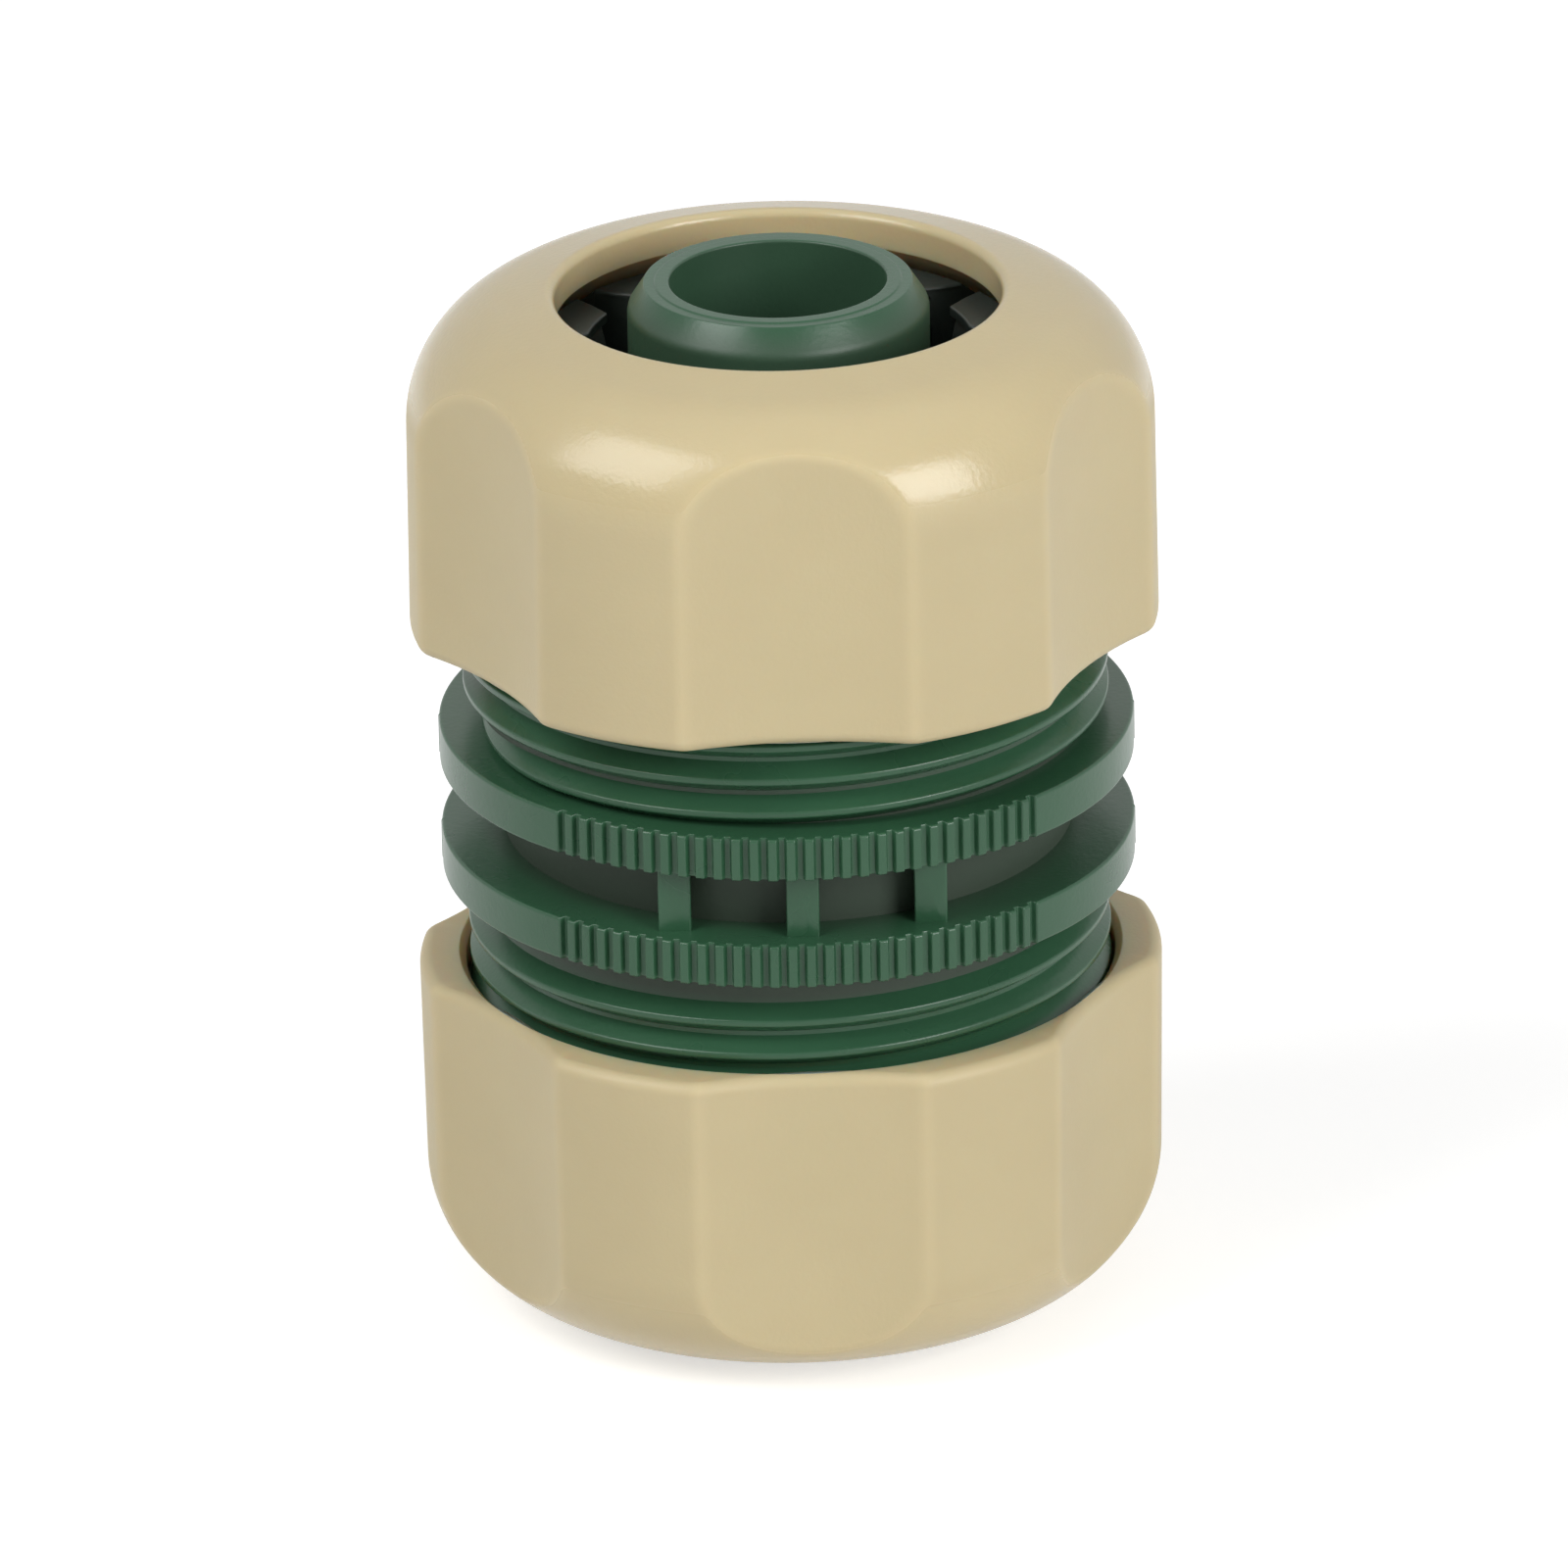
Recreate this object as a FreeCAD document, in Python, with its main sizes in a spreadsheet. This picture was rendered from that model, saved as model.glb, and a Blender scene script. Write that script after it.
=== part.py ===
import FreeCAD, Part
import os

import Sketcher

# Straight mender for half-inch garden hose, standing on one end.
# A one-piece coupler body carries a hose tail, a threaded barrel and a grip flange at each end.
# A clamp nut runs on each barrel, and inside each nut a split gripping ring closes on the hose.
# Millimetres and degrees, +Z along the waterway, origin at the centre, front towards -Y.

# Driving sizes, each written once. The sheet holds them as plain numbers.
DRIVING = {
    # half-inch garden hose, the size that everything is built round
    "hose_bore_radius": 6.35,
    "hose_wall": 3.15,
    "hose_clearance": 0.3,
    # coupler body: hose tails
    "tail_stretch": 0.89,
    "tail_wall": 2.04,
    "tail_stand": 0.475,
    "tail_lead_height": 1.3,
    "tail_tip_wall": 1.23,
    "tail_shoulder_round": 0.8,
    # coupler body: barrels and the hose sockets inside them
    "barrel_length": 11.7,
    "barrel_wall": 1.8,
    "ring_seat_z": 6.0,
    "socket_floor_z": 2.0,
    # coupler body: grip flanges, and the core and ribs between them
    "flange_step": 1.2,
    "flange_thickness": 2.15,
    "flange_gap": 3.35,
    "core_inset": 0.9,
    "rib_width": 1.57,
    "rib_spacing": 6.1,
    "rib_inset": 1.2,
    "rib_shift": 0.6,
    # coupler body: knurled grip on the front and back of both flanges
    "knurl_pitch_angle": 3.0,
    "knurl_half_span": 43.5,
    "knurl_turn": 1.8,
    "knurl_floor_width": 0.26,
    "knurl_mouth_width": 0.46,
    "knurl_depth": 0.4,
    "knurl_clear": 0.2,
    # screw thread
    "thread_depth": 0.9,
    "thread_lead": 1.7,
    "thread_crest_width": 0.25,
    "thread_flank_angle": 33.7,
    "thread_turns": 3.75,
    "thread_start_gap": 0.85,
    "thread_overlap": 0.1,
    # the lower end is the upper end turned over about this level line, so both threads are right-handed
    "turnover_angle": -27.6,
    # clamp nuts
    "nut_height": 16.9,
    "nut_wall": 2.27,
    "nut_draft_angle": 0.6,
    "nut_open_gap": 4.7,
    "nut_closed_gap": 0.3,
    "nut_hole_clearance": 1.2,
    "nut_hole_wall": 1.65,
    "nut_hole_round": 0.4,
    "nut_crown_angle": 13.7,
    "nut_crown_round": 6.0,
    "nut_rim_chamfer": 0.45,
    "nut_mouth_chamfer": 0.35,
    "nut_cone_height": 3.6,
    "nut_bore_clearance": 0.35,
    "nut_thread_turns": 1.25,
    "nut_thread_clearance": 0.2,
    "nut_thread_tip_width": 0.12,
    "scallop_count": 6,
    "scallop_radius": 22.0,
    "scallop_depth": 1.56,
    "scallop_draft_angle": 0.6,
    "scallop_turn": 1.9,
    # split gripping rings
    "ring_clearance": 0.3,
    "ring_wall": 2.8,
    "ring_base_height": 2.5,
    "finger_count": 10,
    "finger_slot_width": 1.3,
    "finger_slot_flare": 1.25,
    "finger_gap": 2.0,
    "finger_tip_drop": 2.7,
    "finger_tip_land": 0.5,
    "finger_tooth_depth": 0.6,
    "finger_tooth_pitch": 1.5,
}

# Places and mating sizes, worked out from the driving ones by the sheet itself.
DERIVED = {
    # radii, one on the other from the hose outwards
    "hose_radius": "hose_bore_radius + hose_wall",
    "tail_radius": "hose_bore_radius + tail_stretch",
    "waterway_radius": "tail_radius - tail_wall",
    "tail_tip_radius": "waterway_radius + tail_tip_wall",
    "socket_radius": "hose_radius + hose_clearance",
    "ring_outer_radius": "socket_radius + ring_wall",
    "barrel_bore_radius": "ring_outer_radius + ring_clearance",
    "thread_root_radius": "barrel_bore_radius + barrel_wall",
    "thread_embed_radius": "thread_root_radius - thread_overlap",
    "thread_crest_radius": "thread_root_radius + thread_depth",
    "core_radius": "thread_root_radius - core_inset",
    "flange_radius": "thread_crest_radius + flange_step",
    "rib_radius": "flange_radius - rib_inset",
    "nut_hole_radius": "hose_radius + nut_hole_clearance",
    "nut_bore_radius": "thread_root_radius + nut_bore_clearance",
    "nut_thread_tip_radius": "thread_root_radius + nut_thread_clearance",
    "nut_cavity_radius": "thread_crest_radius + nut_thread_clearance",
    "nut_thread_embed_radius": "nut_cavity_radius + thread_overlap",
    "nut_mouth_radius": "nut_cavity_radius + nut_mouth_chamfer",
    "nut_rim_radius": "nut_cavity_radius + nut_wall",
    "nut_rim_flat_radius": "nut_rim_radius - nut_rim_chamfer",
    # heights, from the middle to the tip of the tail
    "flange_inner_z": "flange_gap / 2",
    "flange_outer_z": "flange_inner_z + flange_thickness",
    "flange_span": "2 * flange_outer_z",
    "barrel_end_z": "flange_outer_z + barrel_length",
    "nut_travel": "nut_open_gap - nut_closed_gap",
    "nut_rim_z": "flange_outer_z + nut_open_gap",
    "nut_rim_chamfer_z": "nut_rim_z + nut_rim_chamfer",
    "nut_chamfer_z": "nut_rim_z + nut_mouth_chamfer",
    "nut_top_z": "nut_rim_z + nut_height",
    "nut_hole_wall_z": "nut_top_z - nut_hole_wall",
    "nut_cone_z": "nut_hole_wall_z - nut_cone_height",
    "tail_tip_z": "nut_top_z + tail_stand",
    "tail_shoulder_z": "tail_tip_z - tail_lead_height",
    # rounded shoulder of the tail, tangent to the tail and to its lead
    "tail_lead_angle": "atan((tail_radius - tail_tip_radius) / tail_lead_height)",
    "tail_round_reach": "tail_shoulder_round * tan(tail_lead_angle / 2)",
    "tail_round_low_z": "tail_shoulder_z - tail_round_reach",
    "tail_round_high_z": "tail_shoulder_z + tail_round_reach * cos(tail_lead_angle)",
    "tail_round_high_radius": "tail_radius - tail_round_reach * sin(tail_lead_angle)",
    "tail_round_centre": "tail_radius - tail_shoulder_round",
    # knurl grooves
    "knurl_floor_radius": "flange_radius - knurl_depth",
    "knurl_floor_half": "knurl_floor_width / 2",
    "knurl_mouth_radius": "flange_radius + knurl_clear",
    "knurl_mouth_half": "knurl_mouth_width / 2",
    "knurl_count": "round(2 * knurl_half_span / knurl_pitch_angle) + 1",
    "knurl_span": "(knurl_count - 1) * knurl_pitch_angle",
    "knurl_start_angle": "knurl_turn - knurl_span / 2",
    # thread on the barrels
    "thread_crest_half": "thread_crest_width / 2",
    "thread_base_half": "thread_crest_half + (thread_depth + thread_overlap) * tan(thread_flank_angle)",
    "thread_start_z": "flange_outer_z + thread_start_gap",
    "thread_end_z": "thread_start_z + thread_lead * thread_turns",
    "thread_foot_low_z": "thread_start_z - thread_base_half",
    "thread_crest_low_z": "thread_start_z - thread_crest_half",
    "thread_crest_high_z": "thread_start_z + thread_crest_half",
    "thread_foot_high_z": "thread_start_z + thread_base_half",
    "lower_foot_low_z": "thread_end_z + thread_base_half",
    "lower_crest_low_z": "thread_end_z + thread_crest_half",
    "lower_crest_high_z": "thread_end_z - thread_crest_half",
    "lower_foot_high_z": "thread_end_z - thread_base_half",
    "turnover_across": "cos(turnover_angle)",
    "turnover_along": "sin(turnover_angle)",
    "lower_thread_angle": "2 * turnover_angle - 180 - 360 * thread_turns",
    # crown round of the nut, tangent to the drafted wall and to the crown's cone
    "wall_line": "nut_rim_radius * cos(nut_draft_angle) + nut_rim_z * sin(nut_draft_angle) - nut_crown_round",
    "lip_centre_radius": "nut_hole_radius + nut_hole_round",
    "crown_line": "lip_centre_radius * sin(nut_crown_angle) + nut_top_z * cos(nut_crown_angle)",
    "crown_centre_line": "crown_line - nut_crown_round",
    "crown_turn": "cos(nut_crown_angle + nut_draft_angle)",
    "crown_radial": "wall_line * cos(nut_crown_angle) - crown_centre_line * sin(nut_draft_angle)",
    "crown_axial": "crown_centre_line * cos(nut_draft_angle) - wall_line * sin(nut_crown_angle)",
    "crown_centre_radius": "crown_radial / crown_turn",
    "crown_centre_z": "crown_axial / crown_turn",
    "crown_low_radius": "crown_centre_radius + nut_crown_round * cos(nut_draft_angle)",
    "crown_low_z": "crown_centre_z + nut_crown_round * sin(nut_draft_angle)",
    "crown_high_radius": "crown_centre_radius + nut_crown_round * sin(nut_crown_angle)",
    "crown_high_z": "crown_centre_z + nut_crown_round * cos(nut_crown_angle)",
    # lip round of the nut's hole, tangent to the crown's cone and to the hole
    "lip_line": "crown_line - nut_hole_round - lip_centre_radius * sin(nut_crown_angle)",
    "lip_centre_z": "lip_line / cos(nut_crown_angle)",
    "lip_radius": "lip_centre_radius + nut_hole_round * sin(nut_crown_angle)",
    "lip_z": "lip_centre_z + nut_hole_round * cos(nut_crown_angle)",
    # thread in the nut, in step with the barrel's
    "nut_cavity_z": "thread_end_z + thread_base_half + nut_travel + nut_bore_clearance",
    "nut_thread_depth": "nut_thread_embed_radius - nut_thread_tip_radius",
    "nut_thread_tip_half": "nut_thread_tip_width / 2",
    "nut_thread_base_half": "nut_thread_tip_half + nut_thread_depth * tan(thread_flank_angle)",
    "nut_thread_skip": "ceil((nut_rim_z + nut_thread_base_half - thread_start_z) / thread_lead)",
    "nut_thread_start_z": "thread_start_z + thread_lead * nut_thread_skip",
    "nut_foot_low_z": "nut_thread_start_z - nut_thread_base_half",
    "nut_tip_low_z": "nut_thread_start_z - nut_thread_tip_half",
    "nut_tip_high_z": "nut_thread_start_z + nut_thread_tip_half",
    "nut_foot_high_z": "nut_thread_start_z + nut_thread_base_half",
    "scallop_centre_distance": "nut_rim_radius - scallop_depth + scallop_radius",
    # gripping ring: its cone keeps one clearance from the nut's cone
    "ring_base_z": "ring_seat_z + ring_clearance + nut_travel",
    "ring_slot_z": "ring_base_z + ring_base_height",
    "finger_tip_z": "nut_top_z - finger_tip_drop",
    "finger_slot_depth": "finger_tip_z - ring_slot_z",
    "cone_slope": "nut_cone_height / (nut_bore_radius - nut_hole_radius)",
    "cone_gap": "ring_clearance * sqrt(1 + cone_slope * cone_slope)",
    "finger_shoulder_z": "nut_cone_z + (nut_bore_radius - ring_outer_radius) * cone_slope - cone_gap",
    "finger_tip_radius": "nut_bore_radius - (finger_tip_z + cone_gap - nut_cone_z) / cone_slope",
    "finger_nose_radius": "tail_radius + finger_gap",
    "finger_root_radius": "finger_nose_radius + finger_tooth_depth",
    "tooth_one_z": "finger_tip_z - finger_tip_land",
    "tooth_two_z": "tooth_one_z - finger_tooth_pitch",
    "tooth_end_z": "tooth_two_z - finger_tooth_pitch",
    "slot_half": "finger_slot_width / 2",
    "slot_flare_half": "slot_half + finger_slot_flare",
    "slot_inner_radius": "finger_nose_radius - finger_slot_flare",
    "slot_neck_radius": "finger_root_radius + finger_slot_flare",
    "slot_outer_radius": "ring_outer_radius + ring_clearance",
}

# Ribs by name, with their place in steps of the spacing.
RIBS = {"left": -1, "middle": 0, "right": 1}
for rib, step in RIBS.items():
    DERIVED[f"{rib}_rib_centre"] = f"rib_shift + {step} * rib_spacing"
    DERIVED[f"{rib}_rib_left"] = f"{rib}_rib_centre - rib_width / 2"
    DERIVED[f"{rib}_rib_right"] = f"{rib}_rib_centre + rib_width / 2"
    DERIVED[f"{rib}_rib_reach"] = f"sqrt(rib_radius * rib_radius - {rib}_rib_centre * {rib}_rib_centre)"

doc = FreeCAD.newDocument("hose_mender")
sheet = doc.addObject("Spreadsheet::Sheet", "sizes")
for row, (name, number) in enumerate(DRIVING.items(), start=1):
    sheet.set(f"A{row}", name)
    sheet.set(f"B{row}", str(number))
    sheet.setAlias(f"B{row}", name)
for row, (name, formula) in enumerate(DERIVED.items(), start=len(DRIVING) + 1):
    sheet.set(f"A{row}", name)
    sheet.set(f"B{row}", f"={formula}")
    sheet.setAlias(f"B{row}", name)
doc.recompute()


def size(name):
    """The number behind a sheet name, negative when the name starts with a minus sign."""
    sign = -1.0 if name.startswith("-") else 1.0
    return sign * float(sheet.get(name.lstrip("-")))


def cell(name):
    """The expression for a sheet name, with its minus sign if it has one."""
    return f"-sizes.{name[1:]}" if name.startswith("-") else f"sizes.{name}"


def origin_of(body, role):
    """A body's own origin plane or axis."""
    return next(item for item in body.Origin.OriginFeatures if item.Role == role)


def new_sketch(body, name, plane, level=None, turn=None):
    """A sketch on one of the body's origin planes, raised to a named level or turned about Z."""
    sketch = body.newObject("Sketcher::SketchObject", name)
    sketch.AttachmentSupport = [(origin_of(body, plane), "")]
    sketch.MapMode = "FlatFace"
    if level:
        sketch.setExpression("AttachmentOffset.Base.z", cell(level))
    if turn:
        upright = plane == "XZ_Plane"
        axis = FreeCAD.Vector(0, 1, 0) if upright else FreeCAD.Vector(0, 0, 1)
        sketch.AttachmentOffset = FreeCAD.Placement(FreeCAD.Vector(), FreeCAD.Rotation(axis, size(turn)))
        sketch.setExpression("AttachmentOffset.Rotation.Angle", cell(turn))
    return sketch


def vector(across, up):
    """A point of a sketch from two sheet names."""
    return FreeCAD.Vector(size(across), size(up), 0)


def bind(sketch, kind, *where, name):
    """Adds a constraint whose value is a sheet name."""
    index = sketch.addConstraint(Sketcher.Constraint(kind, *where, size(name)))
    sketch.setExpression(f"Constraints[{index}]", cell(name))


def outline(sketch, points):
    """A closed outline through named points, each given as (across, up).

    A point that also names a radius and a centre starts an arc, and any other starts a straight line.
    """
    first = sketch.GeometryCount
    ends = []
    for point, following in zip(points, points[1:] + points[:1]):
        start = vector(*point[:2])
        stop = vector(*following[:2])
        if len(point) == 2:
            sketch.addGeometry(Part.LineSegment(start, stop))
            ends.append((1, 2))
            continue
        centre = vector(*point[3:])
        outward = (start + stop) * 0.5 - centre
        middle = centre + outward.normalize() * size(point[2])
        arc = sketch.addGeometry(Part.Arc(start, middle, stop))
        bind(sketch, "Radius", arc, name=point[2])
        turns_left = (start - centre).cross(stop - centre).z > 0
        ends.append((1, 2) if turns_left else (2, 1))
    for i, point in enumerate(points):
        following = (i + 1) % len(points)
        joint = Sketcher.Constraint("Coincident", first + i, ends[i][1], first + following, ends[following][0])
        sketch.addConstraint(joint)
        bind(sketch, "DistanceX", -1, 1, first + i, ends[i][0], name=point[0])
        bind(sketch, "DistanceY", -1, 1, first + i, ends[i][0], name=point[1])
    return sketch


def revolve(body, name, points):
    """Turns an outline of (radius, height) points about the waterway's axis."""
    sketch = outline(new_sketch(body, f"{name}_section", "XZ_Plane"), points)
    turned = body.newObject("PartDesign::Revolution", name)
    turned.Profile = sketch
    turned.ReferenceAxis = (origin_of(body, "Z_Axis"), [""])
    turned.Angle = 360
    doc.recompute()
    return turned


def polar(body, name, feature, count, angle):
    """Repeats a feature about Z: the angle is the name of the step or span, or None for a full turn."""
    pattern = body.newObject("PartDesign::PolarPattern", name)
    pattern.Originals = [feature]
    pattern.Axis = (origin_of(body, "Z_Axis"), [""])
    pattern.Angle = 360
    if angle:
        pattern.setExpression("Angle", cell(angle))
    pattern.setExpression("Occurrences", cell(count))
    body.Tip = pattern
    doc.recompute()
    return pattern


def thread_ridge(body, name, section, turns, turn=None):
    """Winds a ridge of the given section upwards along a right-handed helix about Z."""
    sketch = outline(new_sketch(body, f"{name}_section", "XZ_Plane", turn=turn), section)
    ridge = body.newObject("PartDesign::AdditiveHelix", name)
    ridge.Profile = sketch
    ridge.ReferenceAxis = (origin_of(body, "Z_Axis"), [""])
    ridge.Mode = "pitch-turns-angle"
    ridge.setExpression("Pitch", cell("thread_lead"))
    ridge.setExpression("Turns", cell(turns))
    doc.recompute()
    return ridge


def make_coupler():
    """One moulding: waterway, hose tails, barrels with their threads, flanges, core and ribs."""
    body = doc.addObject("PartDesign::Body", "coupler_body")
    outside = [
        ("core_radius", "flange_inner_z"),
        ("flange_radius", "flange_inner_z"),
        ("flange_radius", "flange_outer_z"),
        ("thread_root_radius", "flange_outer_z"),
        ("thread_root_radius", "barrel_end_z"),
        ("barrel_bore_radius", "barrel_end_z"),
        ("barrel_bore_radius", "ring_seat_z"),
        ("socket_radius", "ring_seat_z"),
        ("socket_radius", "socket_floor_z"),
        ("tail_radius", "socket_floor_z"),
    ]
    shoulder = ("tail_shoulder_round", "tail_round_centre")
    upper_tail = [
        ("tail_radius", "tail_round_low_z", *shoulder, "tail_round_low_z"),
        ("tail_round_high_radius", "tail_round_high_z"),
        ("tail_tip_radius", "tail_tip_z"),
        ("waterway_radius", "tail_tip_z"),
    ]
    lower_tail = [
        ("waterway_radius", "-tail_tip_z"),
        ("tail_tip_radius", "-tail_tip_z"),
        ("tail_round_high_radius", "-tail_round_high_z", *shoulder, "-tail_round_low_z"),
        ("tail_radius", "-tail_round_low_z"),
    ]
    turned_over = [(across, f"-{up}") for across, up in reversed(outside)]
    revolve(body, "moulding", outside + upper_tail + lower_tail + turned_over)

    # Three straight ribs stand on the front of the core between the flanges, and three on its back.
    sketch = new_sketch(body, "rib_plan", "XY_Plane")
    for rib in RIBS:
        for side in ("-", ""):
            outline(
                sketch,
                [
                    (f"{rib}_rib_left", f"{side}tail_radius"),
                    (f"{rib}_rib_right", f"{side}tail_radius"),
                    (f"{rib}_rib_right", f"{side}{rib}_rib_reach"),
                    (f"{rib}_rib_left", f"{side}{rib}_rib_reach"),
                ],
            )
    ribs = body.newObject("PartDesign::Pad", "ribs")
    ribs.Profile = sketch
    ribs.Midplane = True
    ribs.setExpression("Length", cell("flange_gap"))
    doc.recompute()

    # Knurls are grooves across both flanges at once, on the front and on the back.
    sketch = new_sketch(body, "knurl_plan", "XY_Plane", turn="knurl_start_angle")
    for side in ("-", ""):
        outline(
            sketch,
            [
                ("-knurl_floor_half", f"{side}knurl_floor_radius"),
                ("knurl_floor_half", f"{side}knurl_floor_radius"),
                ("knurl_mouth_half", f"{side}knurl_mouth_radius"),
                ("-knurl_mouth_half", f"{side}knurl_mouth_radius"),
            ],
        )
    groove = body.newObject("PartDesign::Pocket", "knurl_groove")
    groove.Profile = sketch
    groove.Midplane = True
    groove.setExpression("Length", cell("flange_span"))
    doc.recompute()
    polar(body, "knurls", groove, "knurl_count", "knurl_span")

    # Each barrel's thread starts beside its flange; the lower one is wound up from its far end.
    upper_section = [
        ("-thread_embed_radius", "thread_foot_low_z"),
        ("-thread_crest_radius", "thread_crest_low_z"),
        ("-thread_crest_radius", "thread_crest_high_z"),
        ("-thread_embed_radius", "thread_foot_high_z"),
    ]
    lower_section = [
        ("thread_embed_radius", "-lower_foot_low_z"),
        ("thread_crest_radius", "-lower_crest_low_z"),
        ("thread_crest_radius", "-lower_crest_high_z"),
        ("thread_embed_radius", "-lower_foot_high_z"),
    ]
    thread_ridge(body, "upper_thread", upper_section, "thread_turns")
    thread_ridge(body, "lower_thread", lower_section, "thread_turns", turn="lower_thread_angle")
    return body


def make_nut(label):
    """A clamp nut: domed crown, hose hole, inner cone, thread, and scallops for the fingers."""
    body = doc.addObject("PartDesign::Body", label)
    crown = ("nut_crown_round", "crown_centre_radius", "crown_centre_z")
    lip = ("nut_hole_round", "lip_centre_radius", "lip_centre_z")
    revolve(
        body,
        "shell",
        [
            ("nut_rim_flat_radius", "nut_rim_z"),
            ("nut_rim_radius", "nut_rim_chamfer_z"),
            ("crown_low_radius", "crown_low_z", *crown),
            ("crown_high_radius", "crown_high_z"),
            ("lip_radius", "lip_z", *lip),
            ("nut_hole_radius", "lip_centre_z"),
            ("nut_hole_radius", "nut_hole_wall_z"),
            ("nut_bore_radius", "nut_cone_z"),
            ("nut_bore_radius", "nut_cavity_z"),
            ("nut_cavity_radius", "nut_cavity_z"),
            ("nut_cavity_radius", "nut_chamfer_z"),
            ("nut_mouth_radius", "nut_rim_z"),
        ],
    )
    section = [
        ("nut_thread_embed_radius", "nut_foot_low_z"),
        ("nut_thread_tip_radius", "nut_tip_low_z"),
        ("nut_thread_tip_radius", "nut_tip_high_z"),
        ("nut_thread_embed_radius", "nut_foot_high_z"),
    ]
    thread_ridge(body, "thread", section, "nut_thread_turns")

    # One shallow scallop, drafted so that it runs out into the crown, then the rest round the nut.
    sketch = new_sketch(body, "scallop_plan", "XY_Plane", level="nut_rim_z", turn="scallop_turn")
    centre = FreeCAD.Vector(0, -size("scallop_centre_distance"), 0)
    sketch.addGeometry(Part.Circle(centre, FreeCAD.Vector(0, 0, 1), size("scallop_radius")))
    sketch.addConstraint(Sketcher.Constraint("PointOnObject", 0, 3, -2))
    bind(sketch, "DistanceY", -1, 1, 0, 3, name="-scallop_centre_distance")
    bind(sketch, "Radius", 0, name="scallop_radius")
    before = body.Shape.Volume
    scallop = body.newObject("PartDesign::Pocket", "scallop")
    scallop.Profile = sketch
    scallop.Reversed = True
    scallop.setExpression("Length", cell("nut_height"))
    scallop.setExpression("TaperAngle", cell("scallop_draft_angle"))
    doc.recompute()
    assert body.Shape.Volume < before - 10, "the scallop misses the nut"
    polar(body, "scallops", scallop, "scallop_count", None)
    return body


def make_ring(label):
    """A split gripping ring: a plain base with fingers that slope inwards and bite the hose."""
    body = doc.addObject("PartDesign::Body", label)
    revolve(
        body,
        "collar",
        [
            ("ring_outer_radius", "ring_base_z"),
            ("ring_outer_radius", "finger_shoulder_z"),
            ("finger_tip_radius", "finger_tip_z"),
            ("finger_nose_radius", "finger_tip_z"),
            ("finger_nose_radius", "tooth_one_z"),
            ("finger_root_radius", "tooth_one_z"),
            ("finger_nose_radius", "tooth_two_z"),
            ("finger_root_radius", "tooth_two_z"),
            ("socket_radius", "tooth_end_z"),
            ("socket_radius", "ring_base_z"),
        ],
    )
    sketch = new_sketch(body, "slot_plan", "XY_Plane", level="finger_tip_z")
    outline(
        sketch,
        [
            ("slot_inner_radius", "-slot_flare_half"),
            ("slot_neck_radius", "-slot_half"),
            ("slot_outer_radius", "-slot_half"),
            ("slot_outer_radius", "slot_half"),
            ("slot_neck_radius", "slot_half"),
            ("slot_inner_radius", "slot_flare_half"),
        ],
    )
    before = body.Shape.Volume
    slot = body.newObject("PartDesign::Pocket", "slot")
    slot.Profile = sketch
    slot.setExpression("Length", cell("finger_slot_depth"))
    doc.recompute()
    assert body.Shape.Volume < before - 1, "the slot misses the ring"
    polar(body, "slots", slot, "finger_count", None)
    return body


def turn_over(body):
    """Turns an end's piece over about the level line, onto the lower end."""
    line = vector("turnover_across", "turnover_along")
    body.Placement = FreeCAD.Placement(FreeCAD.Vector(), FreeCAD.Rotation(line, 180))


pieces = [make_coupler()]
for end in ("upper", "lower"):
    nut = make_nut(f"{end}_nut")
    ring = make_ring(f"{end}_gripping_ring")
    if end == "lower":
        turn_over(nut)
        turn_over(ring)
    pieces += [nut, ring]
doc.recompute()

for item in doc.Objects:
    assert not {"Invalid", "Error"} & set(item.State), f"{item.Name} failed: {item.State}"
os.makedirs("parts", exist_ok=True)
for piece in pieces:
    assert not piece.Shape.isNull() and piece.Shape.isValid(), f"{piece.Label} has no valid shape"
    assert len(piece.Shape.Solids) == 1, f"{piece.Label} is not one solid"
    piece.Shape.exportStep(f"parts/{piece.Label}.step")
    print(piece.Label, round(piece.Shape.Volume / 1000, 2), "cm3")
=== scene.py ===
import math

import bpy
import numpy as np
from mathutils import Matrix, Vector


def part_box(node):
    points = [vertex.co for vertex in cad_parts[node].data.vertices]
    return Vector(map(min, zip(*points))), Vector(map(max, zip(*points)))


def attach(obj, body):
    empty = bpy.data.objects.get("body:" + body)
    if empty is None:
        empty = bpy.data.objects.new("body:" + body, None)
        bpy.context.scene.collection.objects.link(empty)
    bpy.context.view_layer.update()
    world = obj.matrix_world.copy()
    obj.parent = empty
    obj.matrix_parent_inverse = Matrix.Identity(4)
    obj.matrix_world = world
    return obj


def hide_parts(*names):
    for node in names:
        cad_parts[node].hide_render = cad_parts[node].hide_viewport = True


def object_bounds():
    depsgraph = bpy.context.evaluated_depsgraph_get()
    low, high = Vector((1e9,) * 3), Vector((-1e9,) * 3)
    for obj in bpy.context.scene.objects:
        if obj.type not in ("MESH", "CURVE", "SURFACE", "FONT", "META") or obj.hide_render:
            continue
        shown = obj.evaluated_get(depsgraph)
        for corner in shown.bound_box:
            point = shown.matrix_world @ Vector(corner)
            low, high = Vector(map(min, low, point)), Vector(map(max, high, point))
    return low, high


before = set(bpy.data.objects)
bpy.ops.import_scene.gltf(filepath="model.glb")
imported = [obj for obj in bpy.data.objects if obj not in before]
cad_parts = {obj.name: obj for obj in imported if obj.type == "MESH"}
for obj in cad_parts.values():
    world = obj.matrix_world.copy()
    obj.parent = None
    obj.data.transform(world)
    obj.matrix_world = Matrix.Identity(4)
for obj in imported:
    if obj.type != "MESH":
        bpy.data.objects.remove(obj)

cad_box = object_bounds()


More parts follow.
